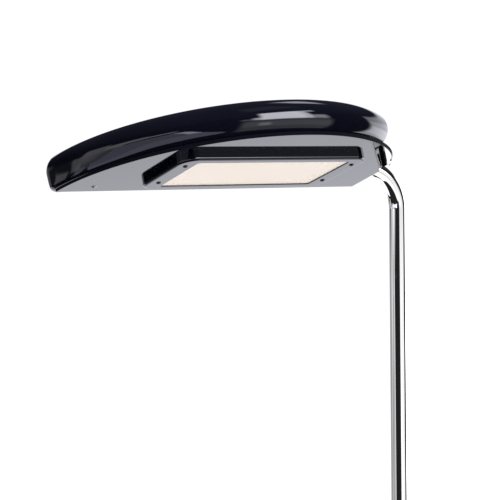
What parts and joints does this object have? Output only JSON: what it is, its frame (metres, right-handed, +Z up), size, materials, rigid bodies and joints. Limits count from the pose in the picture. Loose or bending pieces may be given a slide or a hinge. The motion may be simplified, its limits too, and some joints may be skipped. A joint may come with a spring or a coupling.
{
  "type": "floor lamp",
  "caption": "floor lamp with a half-round lacquered head that tilts on a bent chromed tube, a flat light box with an opal diffuser, a swivelling stem and a round weighted base with a foot switch",
  "frame": {"origin": "centre of the underside of the base pad, where the lamp stands on the floor", "axes": "+Z up along the stem; the arm and the head reach along -X; the curved front of the head faces -Y"},
  "size_m": [0.729, 0.394, 1.7879],
  "materials": {
    "hood_lacquer": "black gloss lacquer on sheet aluminium",
    "base_lacquer": "gloss lacquer",
    "chrome_tube": "polished chrome plate",
    "zinc_steel": "zinc plated",
    "dark_steel": "blackened",
    "bare_aluminium": "milled",
    "cast_weight": "sand cast, black",
    "opal": "opal satin",
    "white_board": "white solder mask",
    "yellow_chip": "phosphor",
    "white_case": "moulded",
    "black_rubber": "matt",
    "black_plastic": "moulded",
    "slip_plastic": "natural"
  },
  "bodies": {
    "base": {"base_pad": "black_rubber", "base_weight": "cast_weight", "base_cover": "base_lacquer", "stem_socket": "chrome_tube", "base_washer": "zinc_steel", "base_nut": "zinc_steel", "thrust_washer": "slip_plastic", "set_screw": "dark_steel", "cord_gland": "black_rubber", "switch_body": "black_plastic"},
    "stem": {"stem_lower": "chrome_tube", "stem_sleeve": "zinc_steel", "stem_upper": "chrome_tube", "arm_ring": "zinc_steel", "arm_collar": "zinc_steel", "arm_guard": "black_rubber", "friction_washer": "slip_plastic"},
    "head": {"hood": "hood_lacquer", "bottom_plate": "hood_lacquer", "plate_screws": "zinc_steel", "pivot_block_outer": "bare_aluminium", "pivot_block_inner": "bare_aluminium", "pivot_nuts": "zinc_steel", "light_box": "hood_lacquer", "box_screws": "dark_steel", "diffuser": "opal", "heat_spreader": "bare_aluminium", "light_board": "white_board", "light_chips": "yellow_chip", "wire_grommet": "black_rubber", "driver": "white_case", "terminal_block": "white_case"},
    "button": {"switch_button": "chrome_tube"}
  },
  "joints": [
    {"name": "stem_swivel", "type": "hinge", "parent": "base", "child": "stem", "pos_m": [0, 0, 0.05], "axis": [0, 0, 1], "range_deg": [-170, 170]},
    {"name": "head_tilt", "type": "hinge", "parent": "stem", "child": "head", "pos_m": [-0.2, 0, 1.7], "axis": [-1, 0, 0], "range_deg": [-62, 43]},
    {"name": "switch_press", "type": "slide", "parent": "base", "child": "button", "axis": [0, 0, -1], "range_m": [0, 0.003], "stiffness_N_per_m": 900, "springref_m": -0.002}
  ]
}
